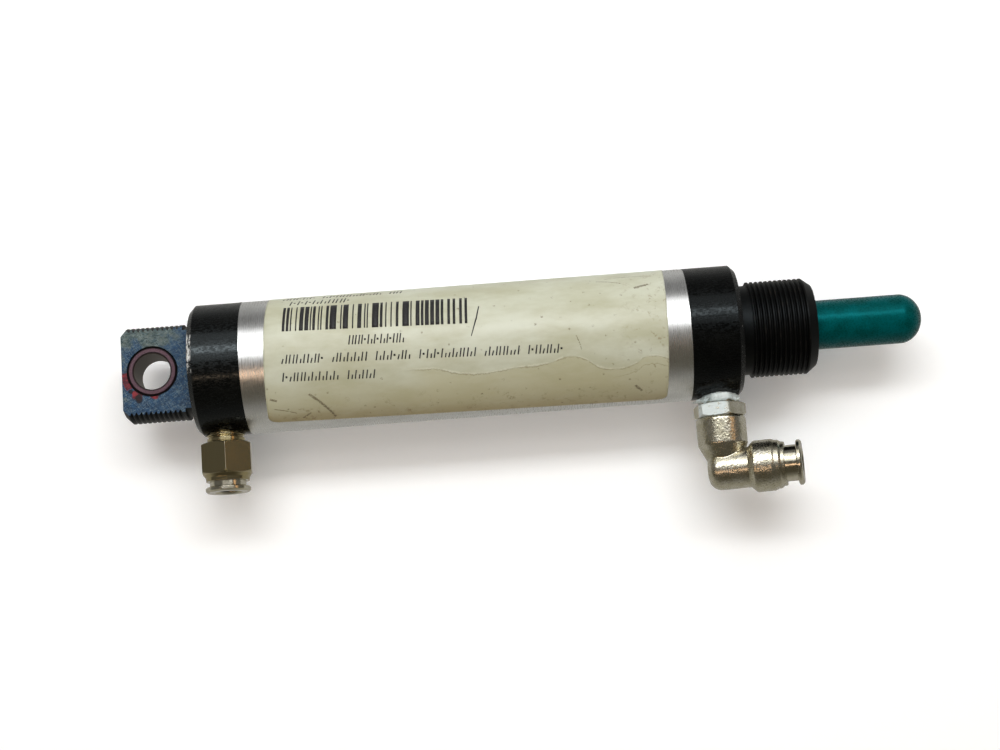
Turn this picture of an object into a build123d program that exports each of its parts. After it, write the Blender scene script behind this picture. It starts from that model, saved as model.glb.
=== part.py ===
from build123d import *
import os
from math import cos, radians, sin, sqrt

# A double-acting pneumatic cylinder with a rear pivot, a threaded nose and two push-in fittings.
# Millimetres. +X runs along the cylinder from the rear pivot bore, at the origin, to the rod's end.
# The pivot bore lies along Z and both air ports face -Y. The rod is fully retracted.

# ---- driving dimensions ----
BODY_R = 34.925 / 2          # 1-3/8 in outside diameter of tube and heads
BORE_R = 31.75 / 2           # 1-1/4 in bore
STROKE = 76.2                # 3 in
ROD_R = 11.1125 / 2          # 7/16 in rod

REAR_END_X = -7.94           # rear end of the tang
REAR_NECK_X = 8.3            # where the stub's thread gives way to a plain neck
REAR_HEAD_X = 10.9           # rear face of the rear head
REAR_JOINT_X = 24.4          # rear head meets tube
FRONT_JOINT_X = 140.2        # tube meets front head
FRONT_HEAD_X = 153.7         # front face of the front head, the mounting shoulder
NOSE_THREAD_X = 157.0        # nose thread starts
NOSE_END_X = 173.65
SPIGOT_LENGTH = 10.0         # how far each head reaches into the tube
SPIGOT_R = BORE_R - 0.025
SPIGOT_CHAMFER = 0.5
HEAD_CHAMFER = 1.3
HEAD_SEAL_NEAR = 4.0         # the spigots' seal groove, measured from the joint with the tube
HEAD_SEAL_FAR = 6.4
HEAD_SEAL_R = SPIGOT_R - 1.85
HEAD_ORING_WIRE_R = 0.9

MOUNT_THREAD_R = 25.3 / 2    # 1-20 thread over its crests
MOUNT_NECK_R = 23.6 / 2
PITCH = 1.27                 # 20 threads to the inch, on the mounts and on the rod's end
THREAD_DEPTH = 0.5 * PITCH   # shallow, because the crests are broad
NOSE_CHAMFER = 2.35
NOSE_CHAMFER_SLOPE = 0.78    # drop in radius for each millimetre of the nose's bevel
STUB_CHAMFER = 1.4

TANG_THICKNESS = 11.3
PIVOT_BUSH_R = 12.7 / 2
PIVOT_BORE_R = 9.525 / 2
PIVOT_BUSH_LENGTH = 11.5
BUSH_CHAMFER = 0.35
PIVOT_COUNTERSINK = 0.4      # bevel round the tang's hole

PISTON_REAR_X = REAR_JOINT_X + SPIGOT_LENGTH + 0.3
PISTON_FRONT_X = FRONT_JOINT_X - SPIGOT_LENGTH - 0.3 - STROKE
PISTON_R = 15.7
SEAL_WIDTH = 4.0
SEAL_GROOVE_R = 12.2
WEAR_GROOVE_R = 14.4
SEAL_RUN = 0.04              # radial running clearance at the bore and the rod
GROOVE_PLAY = 0.1
ROD_SPIGOT_R = 4.0
NUT_ACROSS_FLATS = 12.7
NUT_HEIGHT = 4.6
NUT_POCKET_R = 7.6

ROD_END_X = 197.8
ROD_THREAD_X = 181.0
ROD_FLATS_X = 175.6
ROD_FLATS_LENGTH = 4.6
ROD_ACROSS_FLATS = 9.5
BEARING_R = 14.2875 / 2      # 9/16 in bearing outside diameter
ROD_SEAL_X = 150.4
BEARING_X = 154.6
WIPER_X = 170.4
CHAMBER_R = 8.0              # air space round the rod and the piston's nut
REAR_CHAMBER_DEPTH = 6.0
GLAND_R = 8.6

CAP_R = 6.5
CAP_INNER_R = ROD_R + 0.05
CAP_WALL = CAP_R - CAP_INNER_R
CAP_START_X = NOSE_END_X + 0.1
CAP_END_X = 202.6
CAP_DOME = 5.8

REAR_PORT_X = 17.6
FRONT_PORT_X = 147.4
PORT_R = 9.9 / 2             # 1/8 pipe thread
PORT_DEPTH = 8.2
PORT_DRILL_R = 2.75
PORT_PITCH = 25.4 / 27
PORT_THREAD_DEPTH = 0.45

HEX = 12.7                   # across flats of the straight fitting
STUD_HEX = 12.0              # across flats of the elbow's stud
TUBE_R = 3.25                # takes 1/4 in air tube
PASSAGE_R = 2.2
CARTRIDGE_R = 5.25           # bore that holds each fitting's collet, grip and seal
CARTRIDGE_DEPTH = 7.7
COLLET_OUT = 4.4             # how far a released collet stands out of its fitting
COLLET_FLANGE = 1.4
COLLET_FLANGE_R = 5.9
COLLET_NECK_R = 4.72
COLLET_HOOK_R = 4.92
STRAIGHT_COLLET_IN = 1.5     # the straight fitting's collet rests this far in

STRAIGHT_HEX_D = 19.7        # distances from the cylinder's axis, along the fitting
STRAIGHT_HEX_TOP_D = 27.9
STRAIGHT_END_D = 29.7
STRAIGHT_END_R = 5.75
STRAIGHT_TURN = 24.5         # the pipe threads end with the hexagons turned like this
ELBOW_TURN = 17.5

STUD_HEX_D = 19.3
STUD_HEX_TOP_D = 22.6
ELBOW_COLLAR_R = 6.5
ELBOW_COLLAR_END_D = 29.9
ELBOW_COLLAR_CHAMFER = 0.6
ELBOW_SHOULDER = 4.2         # length of the slope from the collar down to the neck
ELBOW_HEEL_R = 3.2           # rounding of the elbow's outer corner
ELBOW_NECK_R = 4.4
ELBOW_CORE_R = 5.3
ARM_D = 36.4                 # the arm's axis
ARM_YAW = 12.5               # the arm is swivelled towards +Z
ARM_R = 6.75
ARM_START = 6.6              # distances along the arm from the stud's axis
ARM_BAND_END = 12.5
ARM_END = 15.7
ARM_END_R = 5.8
SPINDLE_R = 4.0
SPINDLE_END_D = 31.0
CLIP_GROOVE_D = STUD_HEX_TOP_D + 1.6
CLIP_WIDTH = 0.8
CLIP_INNER_R = 3.4
CLIP_OUTER_R = 4.5
SWIVEL_SEAL_D = STUD_HEX_TOP_D + 4.8
SWIVEL_SEAL_WIDTH = 1.2
SWIVEL_SEAL_R = 3.0

LABEL_X0 = 30.7
LABEL_X1 = 134.8
LABEL_THICKNESS = 0.1
LABEL_LOW_ANGLE = -73.0      # degrees from +Z, negative towards -Y
LABEL_HIGH_ANGLE = 93.0

os.makedirs("parts", exist_ok=True)


# ---- shapes that repeat ----
def turned(points):
    """A solid of revolution about X from (x, radius) points."""
    return revolve(make_face(Polyline(*points, close=True)), Axis.X)


def ring(x0, x1, inner, outer):
    return turned([(x0, inner), (x1, inner), (x1, outer), (x0, outer)])


def rod_shape(x0, x1, radius):
    return ring(x0, x1, 0, radius)


def o_ring(x, middle_r, thick_r):
    """A torus about X, centred at x."""
    return revolve(Pos(x, middle_r) * Circle(thick_r), Axis.X)


def thread_outline(x0, x1, crest_r, pitch, depth):
    """Points along a row of V grooves from x0 to x1, with broad flat crests and narrow roots."""
    count = int((x1 - x0) / pitch)
    crest = pitch / 4
    root = pitch / 8
    slope = (pitch - crest - root) / 2
    points = [(x0, crest_r)]
    for number in range(count):
        start = x0 + number * pitch
        points.append((start + crest, crest_r))
        points.append((start + crest + slope, crest_r - depth))
        points.append((start + crest + slope + root, crest_r - depth))
        points.append((start + pitch, crest_r))
    points.append((x1, crest_r))
    return points


def lip_seal(x0, width, inner, outer, lips_towards):
    """A U-cup about X: its V mouth opens towards the side that holds the pressure."""
    mid = (inner + outer) / 2
    half_mouth = (outer - inner) * 0.22
    mouth_depth = width * 0.5
    body = ring(x0, x0 + width, inner, outer)
    face = x0 + width if lips_towards > 0 else x0
    tip = face - lips_towards * mouth_depth
    over = face + lips_towards * 0.5
    mouth = turned([(over, mid - half_mouth), (tip, mid), (over, mid + half_mouth)])
    return body - mouth


def hexagon(x0, x1, across_flats, chamfer_r):
    """A hexagonal prism along X, its corners turned down at both ends."""
    outline = Plane.YZ * RegularPolygon(across_flats / 2, 6, major_radius=False)
    prism = Pos(x0, 0, 0) * extrude(outline, x1 - x0)
    corner_r = across_flats / sqrt(3)
    drop = (corner_r - chamfer_r) * 0.55
    barrel = turned([
        (x0, 0), (x0, chamfer_r), (x0 + drop, corner_r + 0.01),
        (x1 - drop, corner_r + 0.01), (x1, chamfer_r), (x1, 0),
    ])
    return prism & barrel


def cartridge_bore(end):
    """The stepped hole behind a fitting's mouth at x = end: seal and grip space, then the tube's seat."""
    floor = end - CARTRIDGE_DEPTH
    return rod_shape(floor, end + 1, CARTRIDGE_R) + rod_shape(floor - 2.5, floor, TUBE_R)


def cartridge(end):
    """Seal, gripping ring and retaining sleeve, in that order from the floor of the bore."""
    floor = end - CARTRIDGE_DEPTH
    seal = o_ring(floor + 1.0, 4.2, 0.88)
    grip_x = floor + 2.0
    grip = ring(grip_x, grip_x + 0.4, TUBE_R + 0.1, CARTRIDGE_R - 0.05)
    for number in range(8):
        slot = Rot(number * 45, 0, 0) * Pos(grip_x + 0.2, 3.8, 0) * Box(1, 1.2, 0.6)
        grip -= slot
    sleeve = turned([
        (grip_x + 0.45, 5.0), (end - 0.8, 5.0), (end - 0.8, 4.8), (end, 4.8),
        (end, CARTRIDGE_R), (grip_x + 0.45, CARTRIDGE_R),
    ])
    return seal, grip, sleeve


def collet(end, pushed_in):
    """A release collet in a fitting whose mouth is at x = end."""
    top = end + COLLET_OUT - pushed_in
    under = top - COLLET_FLANGE
    hook_top = end - 0.82 - pushed_in
    hook_end = hook_top - 1.5
    shape = turned([
        (hook_end, TUBE_R), (top - 0.5, TUBE_R), (top, TUBE_R + 0.4), (top, COLLET_FLANGE_R - 0.5),
        (top - 0.45, COLLET_FLANGE_R), (under + 0.25, COLLET_FLANGE_R), (under, COLLET_FLANGE_R - 0.3),
        (under, COLLET_NECK_R), (hook_top, COLLET_NECK_R), (hook_top, COLLET_HOOK_R),
        (hook_end, COLLET_HOOK_R - 0.3),
    ])
    saw = Pos((hook_end + hook_top) / 2 - 0.5, 0, 0) * Box(2.5, 12, 0.7)
    return shape - saw - Rot(90, 0, 0) * saw


def at_port(x, shape):
    """Places a shape that was made along +X so that it runs along -Y from the cylinder's axis at x."""
    return Plane(origin=(x, 0, 0), x_dir=(0, -1, 0), z_dir=(0, 0, 1)).location * shape


def along_arm(shape):
    """Places a shape that was made along +X so that it runs along the elbow's arm."""
    yaw = radians(ARM_YAW)
    plane = Plane(
        origin=(FRONT_PORT_X, -ARM_D, 0), x_dir=(cos(yaw), 0, sin(yaw)), z_dir=(-sin(yaw), 0, cos(yaw))
    )
    return plane.location * shape


def port_hole(x, bottom_d):
    """The tapped port in a head and the drilled way on to bottom_d from the axis."""
    tapped = rod_shape(BODY_R - PORT_DEPTH, BODY_R + 2, PORT_R)
    drilled = rod_shape(bottom_d, BODY_R, PORT_DRILL_R)
    return at_port(x, tapped + drilled)


# ---- barrel ----
def make_rear_head():
    stub = turned(
        [(REAR_END_X, 0), (REAR_END_X, MOUNT_THREAD_R - STUB_CHAMFER)]
        + thread_outline(REAR_END_X + STUB_CHAMFER, REAR_NECK_X, MOUNT_THREAD_R, PITCH, THREAD_DEPTH)
        + [(REAR_NECK_X, MOUNT_NECK_R), (REAR_HEAD_X, MOUNT_NECK_R), (REAR_HEAD_X, 0)]
    )
    flat = Box(REAR_HEAD_X - REAR_END_X + 2, 40, 20, align=(Align.MAX, Align.CENTER, Align.MIN))
    for side in (0, 180):
        stub -= Rot(side, 0, 0) * Pos(REAR_HEAD_X, 0, TANG_THICKNESS / 2) * flat
    spigot_end = REAR_JOINT_X + SPIGOT_LENGTH
    body = turned([
        (REAR_HEAD_X, 0), (REAR_HEAD_X, BODY_R - HEAD_CHAMFER),
        (REAR_HEAD_X + HEAD_CHAMFER, BODY_R), (REAR_JOINT_X, BODY_R),
        (REAR_JOINT_X, SPIGOT_R), (REAR_JOINT_X + HEAD_SEAL_NEAR, SPIGOT_R),
        (REAR_JOINT_X + HEAD_SEAL_NEAR, HEAD_SEAL_R), (REAR_JOINT_X + HEAD_SEAL_FAR, HEAD_SEAL_R),
        (REAR_JOINT_X + HEAD_SEAL_FAR, SPIGOT_R), (spigot_end - SPIGOT_CHAMFER, SPIGOT_R),
        (spigot_end, SPIGOT_R - SPIGOT_CHAMFER), (spigot_end, 0),
    ])
    air_way = rod_shape(REAR_PORT_X - PORT_DRILL_R, spigot_end + 1, PORT_DRILL_R)
    chamber = rod_shape(spigot_end - REAR_CHAMBER_DEPTH, spigot_end + 1, CHAMBER_R)
    head = stub + body - air_way - chamber - port_hole(REAR_PORT_X, 0)
    head -= Cylinder(PIVOT_BUSH_R, 40)
    bevel = Cone(PIVOT_BUSH_R, PIVOT_BUSH_R + 2 * PIVOT_COUNTERSINK, 2 * PIVOT_COUNTERSINK)
    for side in (0, 180):
        head -= Rot(side, 0, 0) * Pos(0, 0, TANG_THICKNESS / 2) * bevel
    return head


def make_front_head():
    spigot_start = FRONT_JOINT_X - SPIGOT_LENGTH
    thread = thread_outline(NOSE_THREAD_X, NOSE_END_X - NOSE_CHAMFER, MOUNT_THREAD_R, PITCH, THREAD_DEPTH)
    body = turned([
        (spigot_start, 0), (spigot_start, SPIGOT_R - SPIGOT_CHAMFER),
        (spigot_start + SPIGOT_CHAMFER, SPIGOT_R),
        (FRONT_JOINT_X - HEAD_SEAL_FAR, SPIGOT_R), (FRONT_JOINT_X - HEAD_SEAL_FAR, HEAD_SEAL_R),
        (FRONT_JOINT_X - HEAD_SEAL_NEAR, HEAD_SEAL_R), (FRONT_JOINT_X - HEAD_SEAL_NEAR, SPIGOT_R),
        (FRONT_JOINT_X, SPIGOT_R),
        (FRONT_JOINT_X, BODY_R), (FRONT_HEAD_X - HEAD_CHAMFER, BODY_R),
        (FRONT_HEAD_X, BODY_R - HEAD_CHAMFER), (FRONT_HEAD_X, MOUNT_NECK_R), (NOSE_THREAD_X, MOUNT_NECK_R),
    ] + thread + [(NOSE_END_X, MOUNT_THREAD_R - NOSE_CHAMFER * NOSE_CHAMFER_SLOPE), (NOSE_END_X, 0)])
    gland = rod_shape(spigot_start - 1, ROD_SEAL_X, CHAMBER_R)
    gland += rod_shape(ROD_SEAL_X, BEARING_X, GLAND_R)
    gland += rod_shape(BEARING_X, WIPER_X, BEARING_R)
    gland += rod_shape(WIPER_X, NOSE_END_X + 1, CHAMBER_R)
    return body - gland - port_hole(FRONT_PORT_X, CHAMBER_R - 1)


def make_pivot_bushing():
    half = PIVOT_BUSH_LENGTH / 2
    edge = BUSH_CHAMFER
    bushing = turned([
        (-half, PIVOT_BORE_R + edge), (-half + edge, PIVOT_BORE_R), (half - edge, PIVOT_BORE_R),
        (half, PIVOT_BORE_R + edge), (half, PIVOT_BUSH_R - edge), (half - edge, PIVOT_BUSH_R),
        (edge - half, PIVOT_BUSH_R), (-half, PIVOT_BUSH_R - edge),
    ])
    return Rot(0, -90, 0) * bushing


def make_label():
    skin = ring(LABEL_X0, LABEL_X1, BODY_R, BODY_R + LABEL_THICKNESS)
    middle = radians((LABEL_LOW_ANGLE + LABEL_HIGH_ANGLE) / 2)
    half = radians((LABEL_HIGH_ANGLE - LABEL_LOW_ANGLE) / 2)
    reach = 60.0
    corners = [(0, 0)]
    for share in (-1, -0.5, 0, 0.5, 1):
        angle = middle + share * half
        corners.append((reach * sin(angle), reach * cos(angle)))
    sector = Plane.YZ * make_face(Polyline(*corners, close=True))
    return skin & Pos(LABEL_X0 - 1, 0, 0) * extrude(sector, LABEL_X1 - LABEL_X0 + 2)


# ---- fittings ----
def pipe_thread_end(hex_d):
    """Outline points of a 1/8 pipe thread, from its inner end up to the hexagon at hex_d."""
    start = BODY_R - PORT_DEPTH + 0.2
    outline = [(start, PASSAGE_R), (start, PORT_R - 0.5)]
    outline += thread_outline(start + 0.5, hex_d - 0.5, PORT_R, PORT_PITCH, PORT_THREAD_DEPTH)
    return outline + [(hex_d - 0.5, PORT_R - 0.5), (hex_d, PORT_R - 0.5), (hex_d, PASSAGE_R)]


def make_straight_fitting():
    end = STRAIGHT_END_D
    body = turned(pipe_thread_end(STRAIGHT_HEX_D))
    body += Rot(STRAIGHT_TURN, 0, 0) * hexagon(STRAIGHT_HEX_D, STRAIGHT_HEX_TOP_D, HEX, HEX / 2)
    body += turned([
        (STRAIGHT_HEX_TOP_D, 0), (STRAIGHT_HEX_TOP_D, HEX / 2 - 0.05), (end - 0.9, STRAIGHT_END_R),
        (end, STRAIGHT_END_R - 0.1), (end, 0),
    ])
    body -= rod_shape(0, end, PASSAGE_R) + cartridge_bore(end)
    return body


def make_elbow_stud():
    d = STUD_HEX_TOP_D
    stud = turned(pipe_thread_end(STUD_HEX_D))
    stud += Rot(ELBOW_TURN, 0, 0) * hexagon(STUD_HEX_D, d, STUD_HEX, STUD_HEX / 2 + 0.15)
    spindle = [(d, 0), (d, SPINDLE_R)]
    grooves = (
        (CLIP_GROOVE_D, CLIP_WIDTH, CLIP_INNER_R),
        (SWIVEL_SEAL_D, SWIVEL_SEAL_WIDTH, SWIVEL_SEAL_R),
    )
    for start, width, bottom in grooves:
        spindle += [(start, SPINDLE_R), (start, bottom), (start + width, bottom), (start + width, SPINDLE_R)]
    spindle += [(SPINDLE_END_D - 0.3, SPINDLE_R), (SPINDLE_END_D, SPINDLE_R - 0.3), (SPINDLE_END_D, 0)]
    stud += turned(spindle)
    return stud - rod_shape(0, SPINDLE_END_D + 1, PASSAGE_R)


def make_elbow_body():
    collar_start = STUD_HEX_TOP_D + 0.05
    upright = turned([
        (collar_start, 0), (collar_start, ELBOW_COLLAR_R - ELBOW_COLLAR_CHAMFER),
        (collar_start + ELBOW_COLLAR_CHAMFER, ELBOW_COLLAR_R), (ELBOW_COLLAR_END_D, ELBOW_COLLAR_R),
        (ELBOW_COLLAR_END_D + ELBOW_SHOULDER, ELBOW_NECK_R),
        (ARM_D, ELBOW_NECK_R), (ARM_D, 0),
    ])
    core = rod_shape(-ELBOW_NECK_R, ARM_START + 0.5, ELBOW_CORE_R)
    core = fillet(core.edges().sort_by(Axis.X)[:1], ELBOW_HEEL_R)
    arm = turned([
        (ARM_START, 0), (ARM_START, ARM_R - 1.2), (ARM_START + 1.2, ARM_R), (ARM_BAND_END, ARM_R),
        (ARM_BAND_END + 0.7, ARM_R - 0.35), (ARM_END - 1.5, ARM_R - 0.45), (ARM_END - 0.9, ARM_END_R),
        (ARM_END, ARM_END_R - 0.1), (ARM_END, 0),
    ])
    body = at_port(FRONT_PORT_X, upright) + along_arm(core + arm)
    d = STUD_HEX_TOP_D
    socket = rod_shape(d - 1, SPINDLE_END_D + 0.2, SPINDLE_R + 0.05) + rod_shape(d, ARM_D, PASSAGE_R)
    socket += rod_shape(CLIP_GROOVE_D - 0.05, CLIP_GROOVE_D + CLIP_WIDTH + 0.05, CLIP_OUTER_R + 0.1)
    passage = rod_shape(0, ARM_END, PASSAGE_R) + cartridge_bore(ARM_END)
    return body - at_port(FRONT_PORT_X, socket) - along_arm(passage)


# ---- rod and piston ----
def make_piston():
    seal_span = SEAL_WIDTH
    rear_seal = PISTON_REAR_X + 1.9
    front_seal = PISTON_FRONT_X - 1.9 - seal_span
    wear = (rear_seal + front_seal) / 2
    points = [
        (PISTON_REAR_X, ROD_SPIGOT_R), (PISTON_REAR_X, PISTON_R - 0.5), (PISTON_REAR_X + 0.5, PISTON_R),
    ]
    for start, bottom in ((rear_seal, SEAL_GROOVE_R), (wear, WEAR_GROOVE_R), (front_seal, SEAL_GROOVE_R)):
        end = start + seal_span
        points += [(start, PISTON_R), (start, bottom), (end, bottom), (end, PISTON_R)]
    points += [
        (PISTON_FRONT_X - 0.5, PISTON_R), (PISTON_FRONT_X, PISTON_R - 0.5), (PISTON_FRONT_X, ROD_SPIGOT_R),
        (PISTON_FRONT_X - 2.4, ROD_SPIGOT_R), (PISTON_FRONT_X - 2.4, 5.25), (PISTON_FRONT_X - 3.7, 5.25),
        (PISTON_FRONT_X - 3.7, ROD_SPIGOT_R),
    ]
    piston = turned(points) - rod_shape(PISTON_REAR_X - 1, PISTON_REAR_X + NUT_HEIGHT + 0.3, NUT_POCKET_R)
    run_in = GROOVE_PLAY
    seal_outer = BORE_R - SEAL_RUN
    seal_width = seal_span - 2 * run_in
    seal_inner = SEAL_GROOVE_R + run_in
    rear = lip_seal(rear_seal + run_in, seal_width, seal_inner, seal_outer, -1)
    front = lip_seal(front_seal + run_in, seal_width, seal_inner, seal_outer, 1)
    wear_ring = ring(wear + run_in, wear + run_in + seal_width, WEAR_GROOVE_R + run_in, seal_outer)
    gap = Pos(wear + seal_span / 2, 0, WEAR_GROOVE_R) * Rot(0, 0, 25) * Box(12, 0.8, 4)
    return piston, rear, front, wear_ring - gap


def make_nut():
    start = PISTON_REAR_X + 0.3
    nut = hexagon(start, start + NUT_HEIGHT, NUT_ACROSS_FLATS, NUT_ACROSS_FLATS / 2 + 0.3)
    return nut - rod_shape(start - 1, start + NUT_HEIGHT + 1, ROD_SPIGOT_R)


def make_rod():
    start = PISTON_REAR_X + 0.3
    points = [
        (start, 0), (start, ROD_SPIGOT_R - 0.4), (start + 0.4, ROD_SPIGOT_R), (PISTON_FRONT_X, ROD_SPIGOT_R),
        (PISTON_FRONT_X, ROD_R), (ROD_THREAD_X - 1.6, ROD_R), (ROD_THREAD_X - 1.2, ROD_R - 0.75),
        (ROD_THREAD_X, ROD_R - 0.75),
    ]
    points += thread_outline(ROD_THREAD_X, ROD_END_X - 0.9, ROD_R, PITCH, THREAD_DEPTH)
    points += [(ROD_END_X, ROD_R - 0.9), (ROD_END_X, 0)]
    rod = turned(points)
    flat_x = ROD_FLATS_X + ROD_FLATS_LENGTH / 2
    flat = Pos(flat_x, 0, ROD_ACROSS_FLATS / 2 + 5) * Box(ROD_FLATS_LENGTH, 20, 10)
    return rod - flat - Rot(180, 0, 0) * flat


def make_cap():
    shoulder = CAP_END_X - CAP_DOME
    outer = Pos(shoulder, 0) * Ellipse(CAP_DOME, CAP_R)
    inner = Pos(shoulder, 0) * Ellipse(CAP_DOME - CAP_WALL, CAP_INNER_R)
    upper_half = Pos(shoulder, CAP_R) * Rectangle(40, 2 * CAP_R)
    tail = Rectangle(shoulder - CAP_START_X, CAP_R, align=(Align.MAX, Align.MIN))
    hollow = Rectangle(shoulder - CAP_START_X, CAP_INNER_R, align=(Align.MAX, Align.MIN))
    right_of_shoulder = Pos(shoulder, 0) * Rectangle(20, 20, align=(Align.MIN, Align.CENTER))
    outer_half = (outer & upper_half & right_of_shoulder) + Pos(shoulder, 0) * tail
    inner_half = (inner & upper_half & right_of_shoulder) + Pos(shoulder, 0) * hollow
    return revolve(outer_half, Axis.X) - revolve(inner_half, Axis.X)


piston, piston_seal_rear, piston_seal_front, piston_wear_ring = make_piston()
straight_seal, straight_grip, straight_sleeve = cartridge(STRAIGHT_END_D)
elbow_seal, elbow_grip, elbow_sleeve = cartridge(ARM_END)
swivel_clip = ring(CLIP_GROOVE_D, CLIP_GROOVE_D + CLIP_WIDTH, CLIP_INNER_R, CLIP_OUTER_R)
swivel_clip -= Pos(CLIP_GROOVE_D, SPINDLE_R, 0) * Box(4, 4, 1.2)
head_seal_middle = (HEAD_SEAL_NEAR + HEAD_SEAL_FAR) / 2
head_seal_r = BORE_R - HEAD_ORING_WIRE_R - 0.05
tape = ring(BODY_R + 0.05, STUD_HEX_D, PORT_R, PORT_R + 0.3)

parts = {
    "rear_head": make_rear_head(),
    "pivot_bushing": make_pivot_bushing(),
    "barrel_tube": ring(REAR_JOINT_X, FRONT_JOINT_X, BORE_R, BODY_R),
    "front_head": make_front_head(),
    "rear_head_oring": o_ring(REAR_JOINT_X + head_seal_middle, head_seal_r, HEAD_ORING_WIRE_R),
    "front_head_oring": o_ring(FRONT_JOINT_X - head_seal_middle, head_seal_r, HEAD_ORING_WIRE_R),
    "rod_seal": lip_seal(ROD_SEAL_X + 0.1, 4.0, ROD_R + SEAL_RUN, GLAND_R, -1),
    "rod_bearing": ring(BEARING_X, WIPER_X, ROD_R + SEAL_RUN, BEARING_R),
    "rod_wiper": turned([
        (WIPER_X, ROD_R + 1.0), (NOSE_END_X - 0.3, ROD_R + SEAL_RUN), (NOSE_END_X - 0.1, ROD_R + 0.5),
        (NOSE_END_X - 0.5, CHAMBER_R), (WIPER_X, CHAMBER_R),
    ]),
    "label": make_label(),
    "straight_fitting_body": at_port(REAR_PORT_X, make_straight_fitting()),
    "straight_fitting_oring": at_port(REAR_PORT_X, straight_seal),
    "straight_fitting_gripper": at_port(REAR_PORT_X, straight_grip),
    "straight_fitting_sleeve": at_port(REAR_PORT_X, straight_sleeve),
    "straight_fitting_collet": at_port(REAR_PORT_X, collet(STRAIGHT_END_D, STRAIGHT_COLLET_IN)),
    "elbow_stud": at_port(FRONT_PORT_X, make_elbow_stud()),
    "elbow_swivel_oring": at_port(FRONT_PORT_X, o_ring(SWIVEL_SEAL_D + SWIVEL_SEAL_WIDTH / 2, 3.52, 0.5)),
    "elbow_swivel_clip": at_port(FRONT_PORT_X, swivel_clip),
    "thread_seal_tape": at_port(FRONT_PORT_X, tape),
    "elbow_body": make_elbow_body(),
    "elbow_oring": along_arm(elbow_seal),
    "elbow_gripper": along_arm(elbow_grip),
    "elbow_sleeve": along_arm(elbow_sleeve),
    "elbow_collet": along_arm(collet(ARM_END, 0)),
    "piston": piston,
    "piston_seal_rear": piston_seal_rear,
    "piston_seal_front": piston_seal_front,
    "piston_wear_ring": piston_wear_ring,
    "piston_nut": make_nut(),
    "piston_oring": o_ring(PISTON_FRONT_X - 3.05, 4.62, 0.6),
    "piston_rod": make_rod(),
    "rod_cap": make_cap(),
}

for name, shape in parts.items():
    export_step(shape, f"parts/{name}.step")
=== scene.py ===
import math
import random

import bmesh
import bpy
from mathutils import Matrix, Vector, noise


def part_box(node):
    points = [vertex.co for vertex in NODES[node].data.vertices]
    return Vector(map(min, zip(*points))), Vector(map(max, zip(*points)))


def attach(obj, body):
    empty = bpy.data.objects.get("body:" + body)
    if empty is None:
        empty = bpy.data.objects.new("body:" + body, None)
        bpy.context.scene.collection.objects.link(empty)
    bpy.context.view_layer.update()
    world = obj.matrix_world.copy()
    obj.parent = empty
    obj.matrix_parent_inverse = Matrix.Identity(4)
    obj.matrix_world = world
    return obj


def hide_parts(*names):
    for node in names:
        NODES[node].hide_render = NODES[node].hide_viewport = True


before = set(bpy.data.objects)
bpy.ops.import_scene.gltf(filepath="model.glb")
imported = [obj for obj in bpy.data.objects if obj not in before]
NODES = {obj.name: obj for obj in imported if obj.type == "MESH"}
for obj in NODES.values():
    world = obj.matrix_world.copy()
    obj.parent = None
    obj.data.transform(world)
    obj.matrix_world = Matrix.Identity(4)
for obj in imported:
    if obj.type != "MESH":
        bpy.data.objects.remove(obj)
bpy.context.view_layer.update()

MM = 0.001  # metres


def span(node, axis):
    """Lowest and highest place of a CAD node along one axis, in millimetres."""
    low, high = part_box(node)
    return low[axis] / MM, high[axis] / MM


# ---- the cylinder in the row frame, in millimetres ----
# _X and _Z are places, _R radii, and _D depths from the cylinder's axis towards the ports.
BODY_R = span("barrel_tube", 2)[1]
BUSH_R = span("pivot_bushing", 0)[1]
TANG_Z = 5.65
REAR_NECK_X = 8.3
REAR_HEAD_X = 10.9
FRONT_HEAD_X = 153.7
HALF_CHAMFER = 0.65
THREAD_R = 12.65
STUD_X = sum(span("elbow_stud", 0)) / 2
STUD_THREAD_R = 5.2
STUD_HEX_D = 19.3
STUD_HEX_TOP_D = 22.6
ARM_D = 36.4
ARM_YAW = math.radians(12.5)
ARM_CAST_END = 12.3
CAVITY_R = 5.5
CAVITY_START = 4.0
SOCKET_R = 4.9
SOCKET_START = 1.5

# ---- the label, as a flat sheet before it is rolled round the tube ----
LABEL_OVERHANG = 0.6
LABEL_X0 = span("label", 0)[0] - LABEL_OVERHANG
LABEL_R = span("label", 2)[1]
LABEL_LENGTH = 103.4
LABEL_HEIGHT = 50.8
LABEL_THICKNESS = 0.09
LABEL_CELLS = (208, 128)
LABEL_WAVE = 0.022
LABEL_CORNER = 2.4
LABEL_TILT = math.radians(2.02)
LABEL_LOW_ARC = math.radians(-67.0) * LABEL_R
# All of these are (along, up) from the label's lower left corner.
# The crease where a stain dried, which shows from TIDE_SEEN_FROM on.
TIDE_LINE = (
    (0.0, 12.5), (14.0, 11.0), (27.0, 13.4), (42.4, 14.8), (52.7, 13.0), (65.5, 14.3), (73.2, 15.1),
    (77.1, 16.5), (80.9, 16.1), (86.0, 13.3), (89.9, 12.6), (95.0, 14.0), (97.6, 15.7), (103.4, 15.0),
)
TIDE_SEEN_FROM = 40.0
TIDE_RIDGE = 0.035
TIDE_RIDGE_WIDTH = 0.7
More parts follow.
